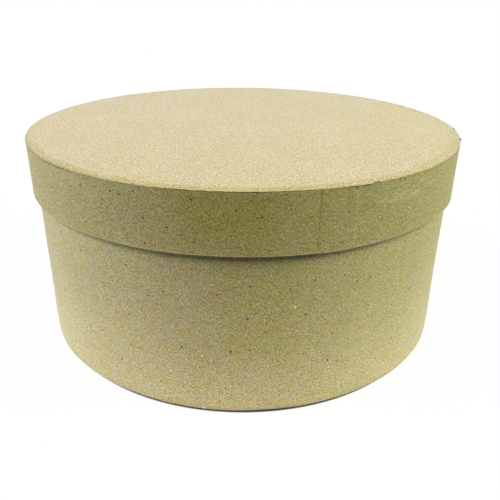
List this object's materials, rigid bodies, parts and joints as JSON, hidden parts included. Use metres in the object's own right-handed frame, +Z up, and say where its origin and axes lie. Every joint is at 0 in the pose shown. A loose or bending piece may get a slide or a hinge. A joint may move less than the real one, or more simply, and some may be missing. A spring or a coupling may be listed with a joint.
{
  "type": "papier-mache box",
  "caption": "Round papier-mache keepsake box in brown kraft paper: a paper-covered board hoop with an inset base and a lift-off lid with a shallow rim.",
  "frame": {"origin": "middle of the underside, on the surface the box stands on", "axes": "+Z up through the middle of the lid, -Y towards the front, where the lid's strip of paper laps over itself a little to the right"},
  "size_m": [0.203, 0.203, 0.0957],
  "materials": {
    "kraft_top": "matt",
    "kraft_wrap": "matt",
    "kraft_lining": "matt",
    "kraft_base": "matt",
    "wound_board": "matt"
  },
  "bodies": {
    "box": {"box_hoop": "wound_board", "base_board": "wound_board", "box_wrap": "kraft_wrap", "box_liner": "kraft_lining", "base_inner_paper": "kraft_lining", "base_outer_paper": "kraft_base"},
    "lid": {"lid_hoop": "wound_board", "lid_board": "wound_board", "lid_top_paper": "kraft_top", "lid_wrap": "kraft_wrap", "lid_liner": "kraft_lining", "lid_inner_paper": "kraft_lining"}
  },
  "joints": [
    {"name": "lid_lift", "type": "slide", "parent": "box", "child": "lid", "axis": [0, 0, 1], "range_m": [0, 0.08]}
  ]
}
